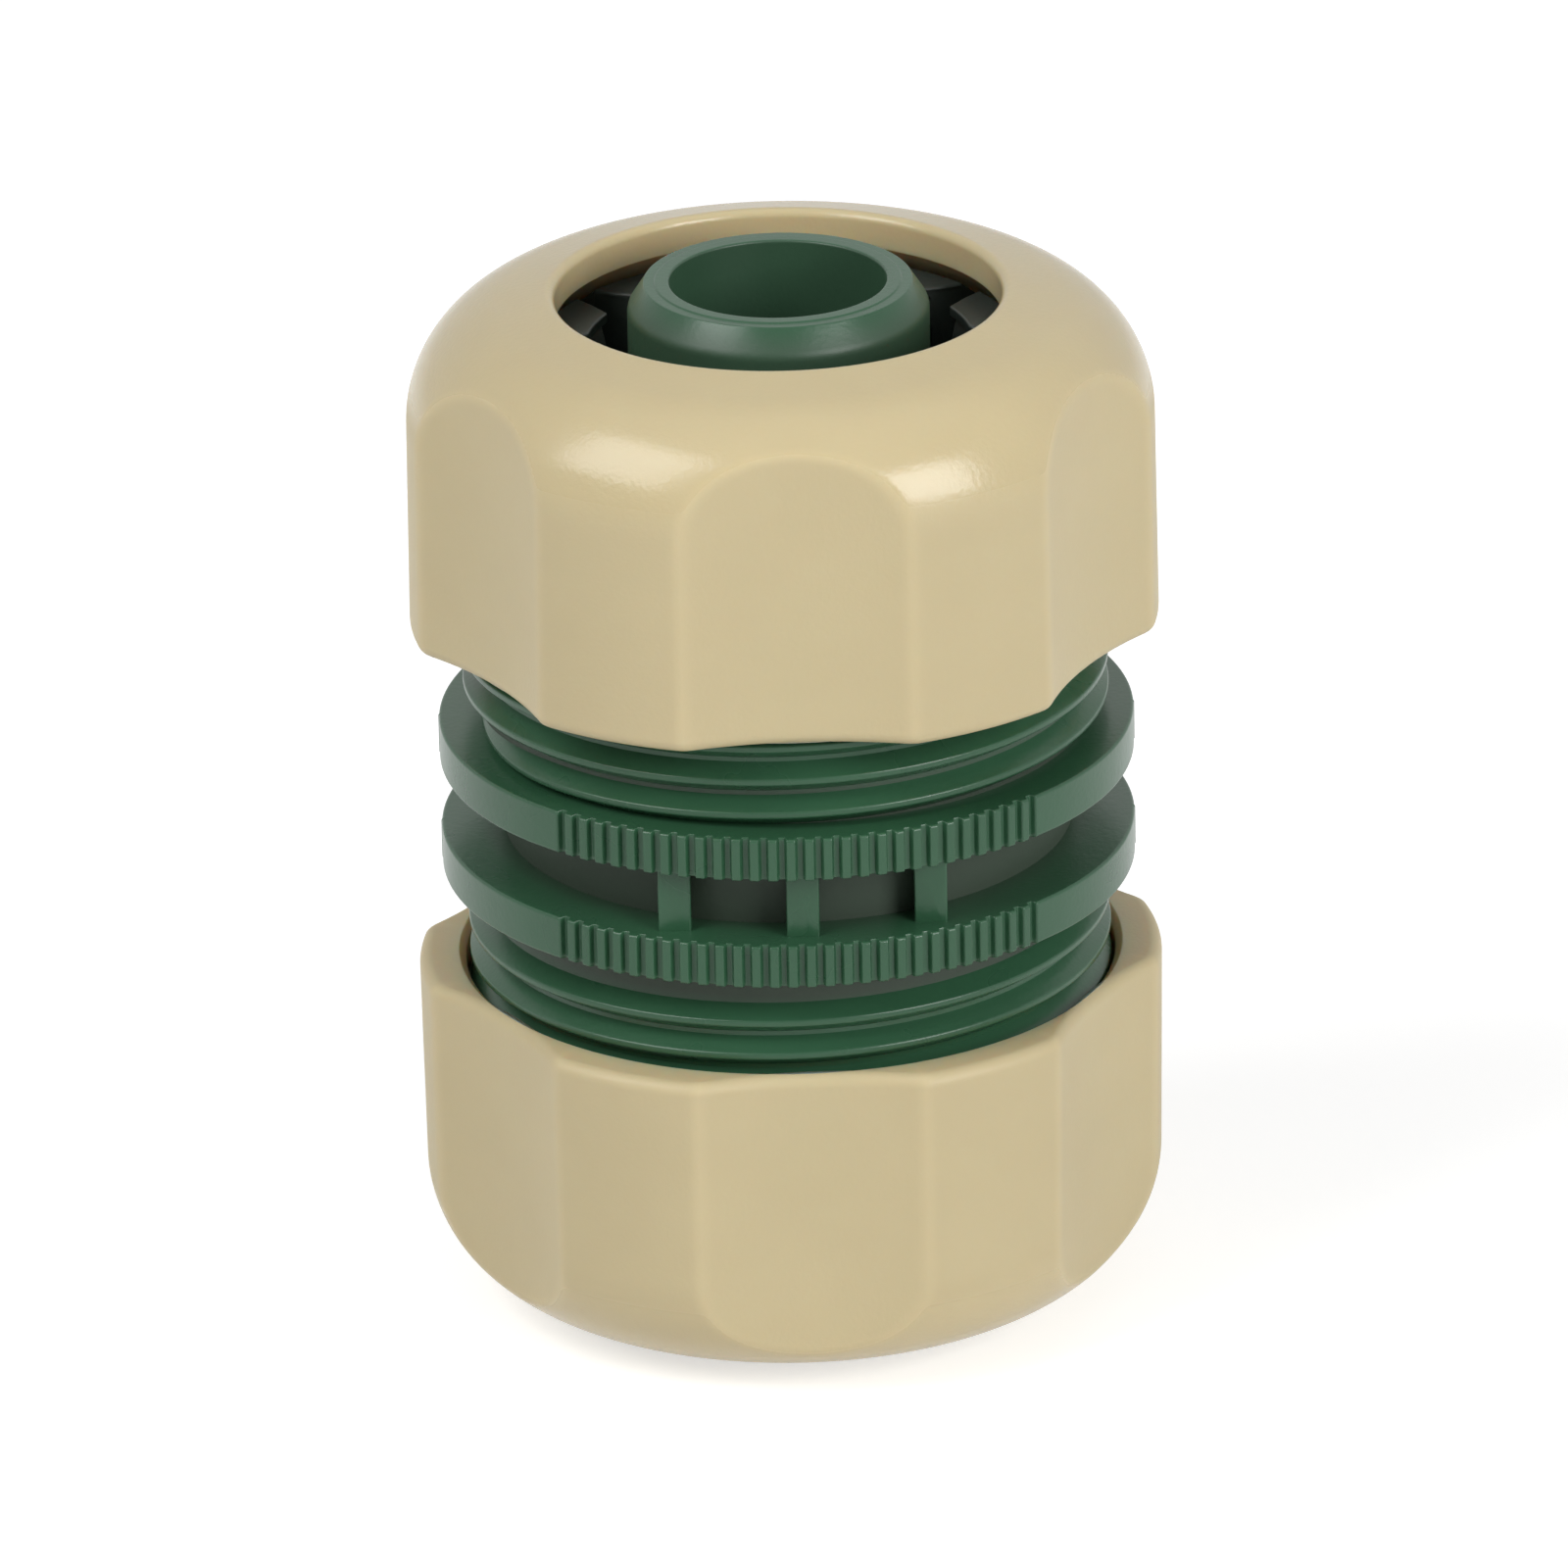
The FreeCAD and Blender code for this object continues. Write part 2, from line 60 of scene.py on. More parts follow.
# Camera. A long lens from the front, a little above, with the object leaning slightly left in the frame.
# The object's middle lies a hair off the frame's centre.
photo_width = 1600
focal_pixels = 14968
sensor_width = 36.0
camera_distance = 0.711
camera_elevation = math.radians(22.603)
camera_roll = math.radians(-1.132)
camera_aim = Vector((-0.00018, 0.0, -0.00027))
nearest_seen = 0.01
farthest_seen = 20.0

rise, run = math.sin(camera_elevation), math.cos(camera_elevation)
backward = Vector((0.0, -run, rise))
level = Vector((1.0, 0.0, 0.0))
upright = Vector((0.0, rise, run))
rightward = level * math.cos(camera_roll) + upright * math.sin(camera_roll)
upward = upright * math.cos(camera_roll) - level * math.sin(camera_roll)
stand = Matrix((rightward, upward, backward)).transposed().to_4x4()
stand.translation = camera_aim + backward * camera_distance

lens = bpy.data.cameras.new("camera")
lens.sensor_fit = "HORIZONTAL"
lens.sensor_width = sensor_width
lens.lens = sensor_width * focal_pixels / photo_width
lens.clip_start = nearest_seen
lens.clip_end = farthest_seen
camera = bpy.data.objects.new("camera", lens)
camera.matrix_world = stand
bpy.context.scene.collection.objects.link(camera)
bpy.context.scene.camera = camera
bpy.context.scene.view_settings.view_transform = "Standard"


# White tent round the object, open towards the front. The lens sees white paper past the object, the gloss
# sees the same paper, dimmer at the opening, and what lights the plastic is a plain grey share of it.
tent_light = 0.19
opening_gloss = 0.55
opening_front, opening_behind = -0.5, 0.2


def seen_rays(nodes, links, gloss):
    """Socket that is one on a ray from the lens, the gloss value on a mirrored ray, and nothing on a ray
    that gathers light: the largest of the camera mark, the transmission mark, and the glossy mark times
    gloss."""
    ray = nodes.new("ShaderNodeLightPath")
    mirrored = nodes.new("ShaderNodeMath")
    mirrored.operation = "MULTIPLY"
    links.new(ray.outputs["Is Glossy Ray"], mirrored.inputs[0])
    links.new(gloss, mirrored.inputs[1])
    seen = ray.outputs["Is Camera Ray"]
    for mark in (ray.outputs["Is Transmission Ray"], mirrored.outputs[0]):
        larger = nodes.new("ShaderNodeMath")
        larger.operation = "MAXIMUM"
        links.new(seen, larger.inputs[0])
        links.new(mark, larger.inputs[1])
        seen = larger.outputs[0]
    return seen


def ramp(nodes, links, value, low, high, start=0.0, end=1.0):
    """Socket that is low where the value is start or less, high where it is end or more, and runs straight
    between them."""
    rising = nodes.new("ShaderNodeMapRange")
    rising.inputs["From Min"].default_value = start
    rising.inputs["From Max"].default_value = end
    rising.inputs["To Min"].default_value = low
    rising.inputs["To Max"].default_value = high
    links.new(value, rising.inputs["Value"])
    return rising.outputs["Result"]


def depth_gloss(nodes, links, coordinates, front, behind):
    """Socket that says how white the gloss sees a place: the opening's share where the coordinates' y is
    the front value or less, rising to one at the value behind."""
    place = nodes.new("ShaderNodeTexCoord")
    parts = nodes.new("ShaderNodeSeparateXYZ")
    links.new(place.outputs[coordinates], parts.inputs["Vector"])
    return ramp(nodes, links, parts.outputs["Y"], opening_gloss, 1.0, front, behind)


world = bpy.data.worlds.new("tent")
bpy.context.scene.world = world
world.use_nodes = True
nodes, links = world.node_tree.nodes, world.node_tree.links
nodes.clear()
gloss = depth_gloss(nodes, links, "Generated", opening_front, opening_behind)
paper = nodes.new("ShaderNodeBackground")
links.new(ramp(nodes, links, seen_rays(nodes, links, gloss), tent_light, 1.0), paper.inputs["Strength"])
links.new(paper.outputs[0], nodes.new("ShaderNodeOutputWorld").inputs["Surface"])


# Table. A plain white sheet under the object, white to the lens but for the object's own soft shadow.
# Like the tent, it is dimmer to the gloss in front of the object than behind it.
sheet_half = 3.0
sheet_colour = (0.80, 0.80, 0.80, 1.0)
sheet_glow = 0.60
sheet_front, sheet_behind = -0.05, 0.05
table_z = cad_box[0][2]
table_mesh = bpy.data.meshes.new("table")
corners = [(x, y, table_z) for x in (-sheet_half, sheet_half) for y in (-sheet_half, sheet_half)]
table_mesh.from_pydata(corners, [], [(0, 2, 3, 1)])
table = bpy.data.objects.new("table", table_mesh)
bpy.context.scene.collection.objects.link(table)
white_sheet = bpy.data.materials.new("white_sheet")
white_sheet.use_nodes = True
nodes, links = white_sheet.node_tree.nodes, white_sheet.node_tree.links
nodes.clear()
chalk = nodes.new("ShaderNodeBsdfDiffuse")
chalk.inputs["Color"].default_value = sheet_colour
glow = nodes.new("ShaderNodeEmission")
glow_level = nodes.new("ShaderNodeMath")
glow_level.operation = "MULTIPLY"
glow_level.inputs[1].default_value = sheet_glow
gloss = depth_gloss(nodes, links, "Object", sheet_front, sheet_behind)
links.new(seen_rays(nodes, links, gloss), glow_level.inputs[0])
links.new(glow_level.outputs[0], glow.inputs["Strength"])
both = nodes.new("ShaderNodeAddShader")
links.new(chalk.outputs[0], both.inputs[0])
links.new(glow.outputs[0], both.inputs[1])
links.new(both.outputs[0], nodes.new("ShaderNodeOutputMaterial").inputs["Surface"])
table_mesh.materials.append(white_sheet)


# Softboxes. One high on the left and a stronger one low on the right light the plastic and give the two
# bright patches on the crown; a weak wide one overhead fills in. Azimuths count from the front towards
# the right.
lamp_distance = 0.7
softboxes = {
    "overhead": dict(azimuth=0.0, elevation=82.0, width=0.80, height=0.80, watts=0.50),
    "left_softbox": dict(azimuth=-59.0, elevation=44.0, width=0.42, height=0.40, watts=2.45),
    "right_softbox": dict(azimuth=46.0, elevation=25.0, width=0.36, height=0.35, watts=2.75),
}
for name, box in softboxes.items():
    azimuth, elevation = math.radians(box["azimuth"]), math.radians(box["elevation"])
    outwards = Vector((math.sin(azimuth), -math.cos(azimuth), 0.0))
    towards = outwards * math.cos(elevation) + Vector((0.0, 0.0, math.sin(elevation)))
    lamp = bpy.data.lights.new(name, "AREA")
    lamp.shape = "RECTANGLE"
    lamp.size = box["width"]
    lamp.size_y = box["height"]
    lamp.energy = box["watts"]
    holder = bpy.data.objects.new(name, lamp)
    holder.location = towards * lamp_distance
    holder.rotation_euler = towards.to_track_quat("Z", "Y").to_euler()
    bpy.context.scene.collection.objects.link(holder)


# Coupler moulding. One green polypropylene part: waterway, two hose tails and two barrels round a solid
# core. It is moulded in two halves that part at the left and right. Its recesses are duller, and painted
# shade makes them darker and greyer than its skin. The sizes of this piece and of those below are in
# millimetres.
MM = 0.001
tail_tip_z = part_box("coupler_body")[1][2] / MM
flange_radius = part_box("coupler_body")[1][0] / MM
waterway_radius = 5.2
tail_radius = 7.24
tail_tip_radius = 6.43
tail_lead_height = 1.3
tail_lead_round = 0.8
tail_groove = 0.06
tail_groove_radius = 5.95
tail_rim_radius = 5.88
flange_inner_z = 1.675
flange_outer_z = 3.825
core_radius = 13.8
core_sink = 0.4
thread_root_radius = 14.7
barrel_end_z = 15.525
barrel_bore_radius = 12.9
ring_seat_z = 6.0
socket_radius = 9.8
socket_floor_z = 2.0
columns_round = 240
# Painted shade in the recesses: the darker, greyer colour it turns to, and its share on the core, waterway,
# tails and roots.
painted_shade_colour = (0.048, 0.062, 0.046)
recess_roughness = 0.62
core_painted_shade = 0.85
waterway_painted_shade = 0.35
tail_painted_shade = 0.45
tail_tip_skin = 0.2
root_painted_shade = 0.9
root_painted_shade_reach = 2.2
root_painted_shade_fade = 0.8


def rounded_outline(corners, step):
    """Closed outline through (across, up, round) corners, run through anticlockwise.

    Each corner is cut back on both sides by its round times the tangent of half its turn, and an arc of
    that radius joins the cuts in steps of ten degrees at most. Straight runs are divided into equal steps,
    with one more point close to each end so that the shading of a round stays out of the flat beside it.
    The longest step is one length for all, or one for each corner and the run after it.
    """
    support = 0.06
    arc_step = math.radians(10)
    corners = np.asarray(corners, float)
    places, rounds = corners[:, :2], corners[:, 2]
    arriving = places - np.roll(places, 1, axis=0)
    arriving /= np.linalg.norm(arriving, axis=1, keepdims=True)
    leaving = np.roll(arriving, -1, axis=0)
    crossed = arriving[:, 0] * leaving[:, 1] - arriving[:, 1] * leaving[:, 0]
    turn = np.arctan2(crossed, (arriving * leaving).sum(axis=1))
    cut = (rounds * np.tan(np.abs(turn) / 2))[:, None]
    starts, ends = places - arriving * cut, places + leaving * cut
    leftward = np.stack([-arriving[:, 1], arriving[:, 0]], axis=1)
    centres = starts + leftward * (np.sign(turn) * rounds)[:, None]
    longest = np.broadcast_to(step, len(places))
    pieces = []
    for i in range(len(places)):
        steps = max(math.ceil(rounds[i] * abs(turn[i]) / longest[i]), math.ceil(abs(turn[i]) / arc_step))
        angle = np.linspace(0, turn[i], steps + 1 if rounds[i] > 0 else 1)[:, None]
        spoke = starts[i] - centres[i]
        across = np.array([-spoke[1], spoke[0]])
        pieces.append(centres[i] + spoke * np.cos(angle) + across * np.sin(angle))
        straight = starts[(i + 1) % len(places)] - ends[i]
        length = np.linalg.norm(straight)
        if length > 3 * support:
            even = np.linspace(0, 1, math.ceil(length / longest[i]) + 1)[1:-1]
            share = np.unique(np.concatenate([[support / length], even, [1 - support / length]]))
            pieces.append(ends[i] + straight * share[:, None])
    return np.concatenate(pieces)


def turned(outline, azimuths):
    """Grid of points that turns an outline of (radius, height) about the upright axis: one row per outline
    point, one column per azimuth, with x the radius times the cosine and y the radius times the sine."""
    radius, height = outline[:, :1], outline[:, 1:]
    spread = np.ones_like(azimuths)
    return np.stack([radius * np.cos(azimuths), radius * np.sin(azimuths), height * spread], axis=-1)


def fan_volume(loop):
    """Six times the volume under a flat face, summed over the fan of triangles from its first corner."""
    return (np.cross(loop[0], loop[1:-1]) * loop[2:]).sum()


def add_piece(name, grids, material, body, node, shares=()):
    """A smooth mesh through grids of points in millimetres, riding on a body in place of a CAD node.

    Four neighbours in a grid make a face. Columns always close. Rows close too, unless the grid comes with
    caps, when its first and last rows are each filled by one face. A grid whose volume, the sum of each
    face's corner product, comes out negative is wound the other way, so that every face looks outwards.
    The shares are named values, one for each point, that a material reads.
    """
    vertices, faces, start = [], [], 0
    for grid, capped in grids:
        rows, columns = grid.shape[:2]
        index = start + np.arange(rows * columns).reshape(rows, columns)
        below = index[:-1] if capped else index
        above = np.roll(index, -1, axis=0)[: len(below)]
        quads = np.stack([below, np.roll(below, -1, axis=1), np.roll(above, -1, axis=1), above], axis=-1)
        quads = quads.reshape(-1, 4)
        flat = grid.reshape(-1, 3)
        a, b, c, d = (flat[quads[:, k] - start] for k in range(4))
        volume = (np.cross(a, b) * c).sum() + (np.cross(a, c) * d).sum()
        caps = [index[0][::-1], index[-1]] if capped else []
        if capped:
            volume += sum(fan_volume(flat[cap - start]) for cap in caps)
        if volume < 0:
            quads, caps = quads[:, ::-1], [cap[::-1] for cap in caps]
        vertices.append(flat)
        faces += quads.tolist() + [cap.tolist() for cap in caps]
        start += rows * columns
    mesh = bpy.data.meshes.new(name)
    mesh.from_pydata((np.concatenate(vertices) * MM).tolist(), [], faces)
    for share, values in dict(shares).items():
        mesh.attributes.new(share, "FLOAT", "POINT").data.foreach_set("value", values)
    mesh.shade_smooth()
    mesh.materials.append(material)
    piece = bpy.data.objects.new(name, mesh)
    bpy.context.scene.collection.objects.link(piece)
    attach(piece, body)
    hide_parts(node)


def moulded_plastic(name, pale, deep, grain_size, grain_height):
    """Moulded plastic: two close tones in soft clouds, and a fine grain."""
    clouds_per_metre = 180.0
    material = bpy.data.materials.new(name)
    material.use_nodes = True
    nodes, links = material.node_tree.nodes, material.node_tree.links
    plastic = nodes["Principled BSDF"]
    place = nodes.new("ShaderNodeTexCoord")

    clouds = nodes.new("ShaderNodeTexNoise")
    clouds.name = "clouds"
    clouds.inputs["Scale"].default_value = clouds_per_metre
    clouds.inputs["Detail"].default_value = 3.0
    links.new(place.outputs["Object"], clouds.inputs["Vector"])
    tones = nodes.new("ShaderNodeMix")
    tones.data_type = "RGBA"
    tones.inputs["A"].default_value = (*deep, 1.0)
    tones.inputs["B"].default_value = (*pale, 1.0)
    links.new(clouds.outputs["Fac"], tones.inputs["Factor"])
    links.new(tones.outputs["Result"], plastic.inputs["Base Color"])

    grain = nodes.new("ShaderNodeTexNoise")
    grain.inputs["Scale"].default_value = 1.0 / (grain_size * MM)
    grain.inputs["Detail"].default_value = 2.0
    links.new(place.outputs["Object"], grain.inputs["Vector"])
    bump = nodes.new("ShaderNodeBump")
    bump.inputs["Distance"].default_value = grain_height * MM
    bump.inputs["Strength"].default_value = 1.0
    links.new(grain.outputs["Fac"], bump.inputs["Height"])
    links.new(bump.outputs["Normal"], plastic.inputs["Normal"])
    return material


def cloudy_roughness(material, middle):
    """Roughness that wanders a little to both sides of the middle value, along with the clouds of tone."""
    wander = 0.04
    nodes, links = material.node_tree.nodes, material.node_tree.links
    roughness = ramp(nodes, links, nodes["clouds"].outputs["Fac"], middle - wander, middle + wander)
    links.new(roughness, nodes["Principled BSDF"].inputs["Roughness"])


def point_share(nodes, name):
    """Socket that reads a piece's own share of that name, nothing where a piece has no such share."""
    reader = nodes.new("ShaderNodeAttribute")
    reader.attribute_name = name
    return reader.outputs["Fac"]


green_plastic = moulded_plastic(
    "green_plastic", pale=(0.037, 0.120, 0.060), deep=(0.028, 0.094, 0.047),
    grain_size=0.30, grain_height=0.010)
cloudy_roughness(green_plastic, middle=0.28)
nodes, links = green_plastic.node_tree.nodes, green_plastic.node_tree.links
plastic = nodes["Principled BSDF"]
# Painted shade: the recess share turns the base colour darker and greyer, and makes the roughness duller.
painted_shade = point_share(nodes, "painted_shade")
greyer = nodes.new("ShaderNodeMix")
greyer.data_type = "RGBA"
greyer.inputs["B"].default_value = (*painted_shade_colour, 1.0)
links.new(painted_shade, greyer.inputs["Factor"])
links.new(plastic.inputs["Base Color"].links[0].from_socket, greyer.inputs["A"])
links.new(greyer.outputs["Result"], plastic.inputs["Base Color"])
duller = nodes.new("ShaderNodeMix")
duller.inputs["B"].default_value = recess_roughness
links.new(painted_shade, duller.inputs["Factor"])
links.new(plastic.inputs["Roughness"].links[0].from_socket, duller.inputs["A"])
links.new(duller.outputs["Result"], plastic.inputs["Roughness"])

half = [
    (core_radius, -flange_inner_z - core_sink, 0.1),
    (core_radius, flange_inner_z + core_sink, 0.1),
    (thread_root_radius, flange_inner_z + core_sink, 0.1),
    (thread_root_radius, barrel_end_z, 0.25),
    (barrel_bore_radius, barrel_end_z, 0.15),
    (barrel_bore_radius, ring_seat_z, 0.1),
    (socket_radius, ring_seat_z, 0.1),
    (socket_radius, socket_floor_z, 0.1),
    (tail_radius, socket_floor_z, 0.1),
    (tail_radius, tail_tip_z - tail_lead_height, tail_lead_round),
    (tail_tip_radius, tail_tip_z - tail_groove, 0.06),
    (tail_groove_radius, tail_tip_z - tail_groove, 0.03),
    (tail_rim_radius, tail_tip_z, 0.05),
    (waterway_radius, tail_tip_z, 0.12),
]
other_half = [(radius, -height, rounding) for radius, height, rounding in reversed(half[2:])]
around = np.linspace(0, 2 * math.pi, columns_round, endpoint=False)
moulding_outline = rounded_outline(half + other_half, step=1.5)

# How much painted shade each outline point takes, darkening and greying the recesses: most on the core and
# at the barrels' roots, less on the tails and in the waterway.
margin = 0.05
across, up = moulding_outline[:, 0], np.abs(moulding_outline[:, 1])
on_core = (across > core_radius - margin) & (up < flange_inner_z + core_sink + margin)
in_waterway = across < waterway_radius + margin
on_tail = (across < tail_radius + margin) & (up < tail_tip_z - tail_tip_skin)
on_root = np.clip((flange_outer_z + root_painted_shade_reach - up) / root_painted_shade_fade, 0, 1)
on_root *= across > thread_root_radius - margin
painted_shade_share = np.select(
    [on_core, in_waterway, on_tail], [core_painted_shade, waterway_painted_shade, tail_painted_shade], root_painted_shade * on_root)
add_piece(
    "coupler_moulding", [(turned(moulding_outline, around), False)], green_plastic,
    "coupler", "coupler_body", {"painted_shade": np.repeat(painted_shade_share, columns_round)})


# Grip flanges. Two rings of the same moulding, knurled in front and behind for the fingers, with a fine
# parting line at the left and right where the mould's halves meet.
knurl_pitch = math.radians(3.0)
knurl_teeth_each_way = 14.5
knurl_turn = math.radians(1.8)
knurl_depth = 0.32
knurl_mouth_half = 0.26
knurl_floor_half = 0.12
flange_root_radius = 13.2
flange_edge = 0.15
parting_height = 0.035
parting_half = 0.10
plain_step = 2.0
# Painted shade on the flange faces: its share, where it starts inside the rim, and how fast it grows.
face_painted_shade = 0.6
face_painted_shade_start = 1.8
face_painted_shade_fade = 1.5

front, back = -math.pi / 2 + knurl_turn, math.pi / 2 + knurl_turn
groove_step = np.arange(-knurl_teeth_each_way + 0.5, knurl_teeth_each_way + 0.5) * knurl_pitch
grooves = np.concatenate([front + groove_step, back + groove_step])
mouth_angle = knurl_mouth_half / flange_radius
floor_angle = knurl_floor_half / flange_radius

# Columns: a few across each tooth, wall and groove floor, close pairs at the wall's ends, a few across each
# parting line, and even ones on the plain rim between the knurls.
groove_offsets = np.concatenate([
    [-knurl_pitch * 0.5, -knurl_pitch * 0.36], -mouth_angle * np.array([1.16, 1.03]),
    -np.linspace(mouth_angle * 0.92, floor_angle * 1.12, 4), -floor_angle * np.array([0.97, 0.7])])
groove_offsets = np.concatenate([groove_offsets, [0.0], -groove_offsets[1:]])
parting_offsets = np.array([-2.0, -1.0, -0.45, 0.0, 0.45, 1.0, 2.0]) * parting_half / flange_radius
plain_span = np.radians(np.arange(48.0, 134.0, plain_step))
flange_azimuths = np.unique(np.concatenate([
    (grooves[:, None] + groove_offsets).ravel(),
    front + plain_span, back + plain_span, parting_offsets, parting_offsets + math.pi]) % (2 * math.pi))

nearest = np.abs((flange_azimuths[:, None] - grooves + math.pi) % (2 * math.pi) - math.pi).min(axis=1)
share = np.clip((mouth_angle - nearest) / (mouth_angle - floor_angle), 0, 1)
groove_share = share * share * (3 - 2 * share)
to_parting = np.abs((flange_azimuths + math.pi / 2) % math.pi - math.pi / 2) * flange_radius
parting_share = np.clip(1 - to_parting / parting_half, 0, 1)


def knurled(outline):
    """Turned ring whose rim is cut back by the knurl's depth in each groove and stands out by the parting
    line's height at the sides; both fade to nothing half a depth inside the groove's floor."""
    grid = turned(outline, flange_azimuths)
    reach = np.clip((outline[:, :1] - flange_radius) / (1.5 * knurl_depth) + 1, 0, 1)
    change = parting_share * parting_height - groove_share * knurl_depth
    grid[..., :2] *= 1 + reach[..., None] * change[:, None] / outline[:, :1, None]
    return grid


for name, side in {"upper_grip_flange": 1, "lower_grip_flange": -1}.items():
    low, high = sorted((side * flange_inner_z, side * flange_outer_z))
    outline = rounded_outline([
        (flange_root_radius, low, 0.05), (flange_radius, low, flange_edge),
        (flange_radius, high, flange_edge), (flange_root_radius, high, 0.05)], step=0.6)
    # Painted shade on the flange's faces, growing inwards from a little inside the rim.
    inside_rim = flange_radius - face_painted_shade_start - outline[:, 0]
    painted_shade_share = face_painted_shade * np.clip(inside_rim / face_painted_shade_fade, 0, 1)
    add_piece(
        name, [(knurled(outline), False)], green_plastic, "coupler", "coupler_body",
        {"painted_shade": np.repeat(painted_shade_share, len(flange_azimuths))})


# Flange ribs. Short straight webs that tie the two flanges together, three in front and three behind, the
# middle one a little to the right.
rib_width = 1.57
rib_spacing = 6.1
rib_shift = 0.6
rib_reach = flange_radius - 1.2
rib_root = core_radius - 0.6
rib_sink = 0.2
rib_edge = 0.10
edge_points = 5


def standing_block(across, up, near, far, edge):
    """Straight block along y: its rounded cross-section is repeated from the near to the far end, where it
    shrinks by the round less its cosine as it advances by the round's sine."""
    left, right = across
    low, high = up
    corners = [(left, low, edge), (right, low, edge), (right, high, edge), (left, high, edge)]
    section = rounded_outline(corners, step=2.0)
    middle = np.array([(left + right) / 2, (low + high) / 2])
    half_size = np.array([(right - left) / 2, (high - low) / 2])
    angle = np.linspace(0, math.pi / 2, edge_points)
    shrink = np.concatenate([[0, 0], edge * (1 - np.cos(angle))])
    inward = math.copysign(edge, near - far)
    depth = np.concatenate([[near, far + 2 * inward], far + inward * (1 - np.sin(angle))])
    scale = 1 - shrink[:, None] / half_size
    flat = middle + (section - middle) * scale[:, None]
    return np.stack([flat[..., 0], np.broadcast_to(depth[:, None], flat.shape[:2]), flat[..., 1]], axis=-1)


ribs = []
for step in (-1, 0, 1):
    centre = rib_shift + step * rib_spacing
    reach = math.sqrt(rib_reach ** 2 - centre ** 2)
    root = math.sqrt(rib_root ** 2 - centre ** 2)
    for side in (-1, 1):
        across = (centre - rib_width / 2, centre + rib_width / 2)
        up = (-flange_inner_z - rib_sink, flange_inner_z + rib_sink)
        ribs.append((standing_block(across, up, side * root, side * reach, rib_edge), True))
add_piece("flange_ribs", ribs, green_plastic, "coupler", "coupler_body")


# Barrel threads. A coarse right-handed ridge on each barrel, part of the same moulding. The lower end of
# the part is the upper end turned over about a level line.
thread_depth = 0.9
thread_lead = 1.7
thread_flank = math.radians(33.7)
thread_crest_half = 0.14
thread_sink = 0.1
thread_start_z = flange_outer_z + 0.85
thread_turns = 3.75
thread_fade_turns = 0.125
thread_foot_out = 0.1
thread_foot_width = 0.4
upper_drop = 0.52
lower_drop = 0.48
thread_steps_round = 240
turnover_angle = math.radians(-27.6)


def ridge(root_radius, outward, depth, crest_half, start_azimuth, start_z, turns, crest_round):
    """Ridge wound along a rising helix: its section, a flat-topped triangle sunk a little into the wall, is
    carried round at a height of the start plus the lead times the turns, and shrinks to a small foot in the
    wall over the first and last eighth of a turn by a smooth step."""
    base_half = crest_half + (depth + thread_sink) * math.tan(thread_flank)
    section = rounded_outline([
        (-thread_sink, -base_half, 0), (depth, -crest_half, crest_round),
        (depth, crest_half, crest_round), (-thread_sink, base_half, 0)], step=0.4)
    turned_by = np.linspace(0, turns, math.ceil(turns * thread_steps_round) + 1)[:, None]
    fade = np.clip(np.minimum(turned_by, turns - turned_by) / thread_fade_turns, 0, 1)
    fade = fade * fade * (3 - 2 * fade)
    out = (section[:, 0] + thread_sink) * (thread_foot_out + (1 - thread_foot_out) * fade) - thread_sink
    up = section[:, 1] * (thread_foot_width + (1 - thread_foot_width) * fade)
    radius = root_radius + outward * out
    azimuth = start_azimuth + 2 * math.pi * turned_by
    height = start_z + thread_lead * turned_by + up
    return np.stack([radius * np.cos(azimuth), radius * np.sin(azimuth), height], axis=-1)


def over(points):
    """Points turned half round about the level line: twice their part along the line, less themselves."""
    line = np.array([math.cos(turnover_angle), math.sin(turnover_angle), 0.0])
    return 2 * (points @ line)[..., None] * line - points


def barrel_ridge(drop):
    """The barrel's ridge: a helix from the left side, its start height lowered by the drop."""
    return ridge(
        thread_root_radius, 1, thread_depth, thread_crest_half, math.pi, thread_start_z - drop,
        thread_turns, thread_crest_half)


barrel_threads = {
    "upper_barrel_thread": barrel_ridge(upper_drop),
    "lower_barrel_thread": over(barrel_ridge(-lower_drop))}
for name, grid in barrel_threads.items():
    add_piece(name, [(grid, True)], green_plastic, "coupler", "coupler_body")


# Gripping rings. A plain collar with ten fingers that lean in under the nut's cone and bite the hose. Each
# is one moulding in a dark grey-green plastic, duller than the coupler's, with flat-sided slots that flare.
ring_low_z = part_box("upper_gripping_ring")[0][2] / MM
finger_tip_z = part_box("upper_gripping_ring")[1][2] / MM
ring_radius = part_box("upper_gripping_ring")[1][0] / MM
ring_slot_z = ring_low_z + 2.5
finger_foot_z = ring_slot_z - 0.3
finger_count = 10
finger_nose_radius = 9.24
finger_root_radius = 9.84
finger_tip_radius = 11.498
finger_shoulder_z = 21.813
finger_land = 0.5
finger_tooth_pitch = 1.5
slot_half = 0.65
slot_flare = 1.25
slot_neck_radius = finger_root_radius + slot_flare
slot_inner_radius = finger_nose_radius - slot_flare
finger_edge = 0.14
finger_face_points = 5
first_tooth_z = finger_tip_z - finger_land
second_tooth_z = first_tooth_z - finger_tooth_pitch

ring_plastic = moulded_plastic(
    "ring_plastic", pale=(0.050, 0.064, 0.056), deep=(0.040, 0.052, 0.046),
    grain_size=0.30, grain_height=0.010)
cloudy_roughness(ring_plastic, middle=0.42)


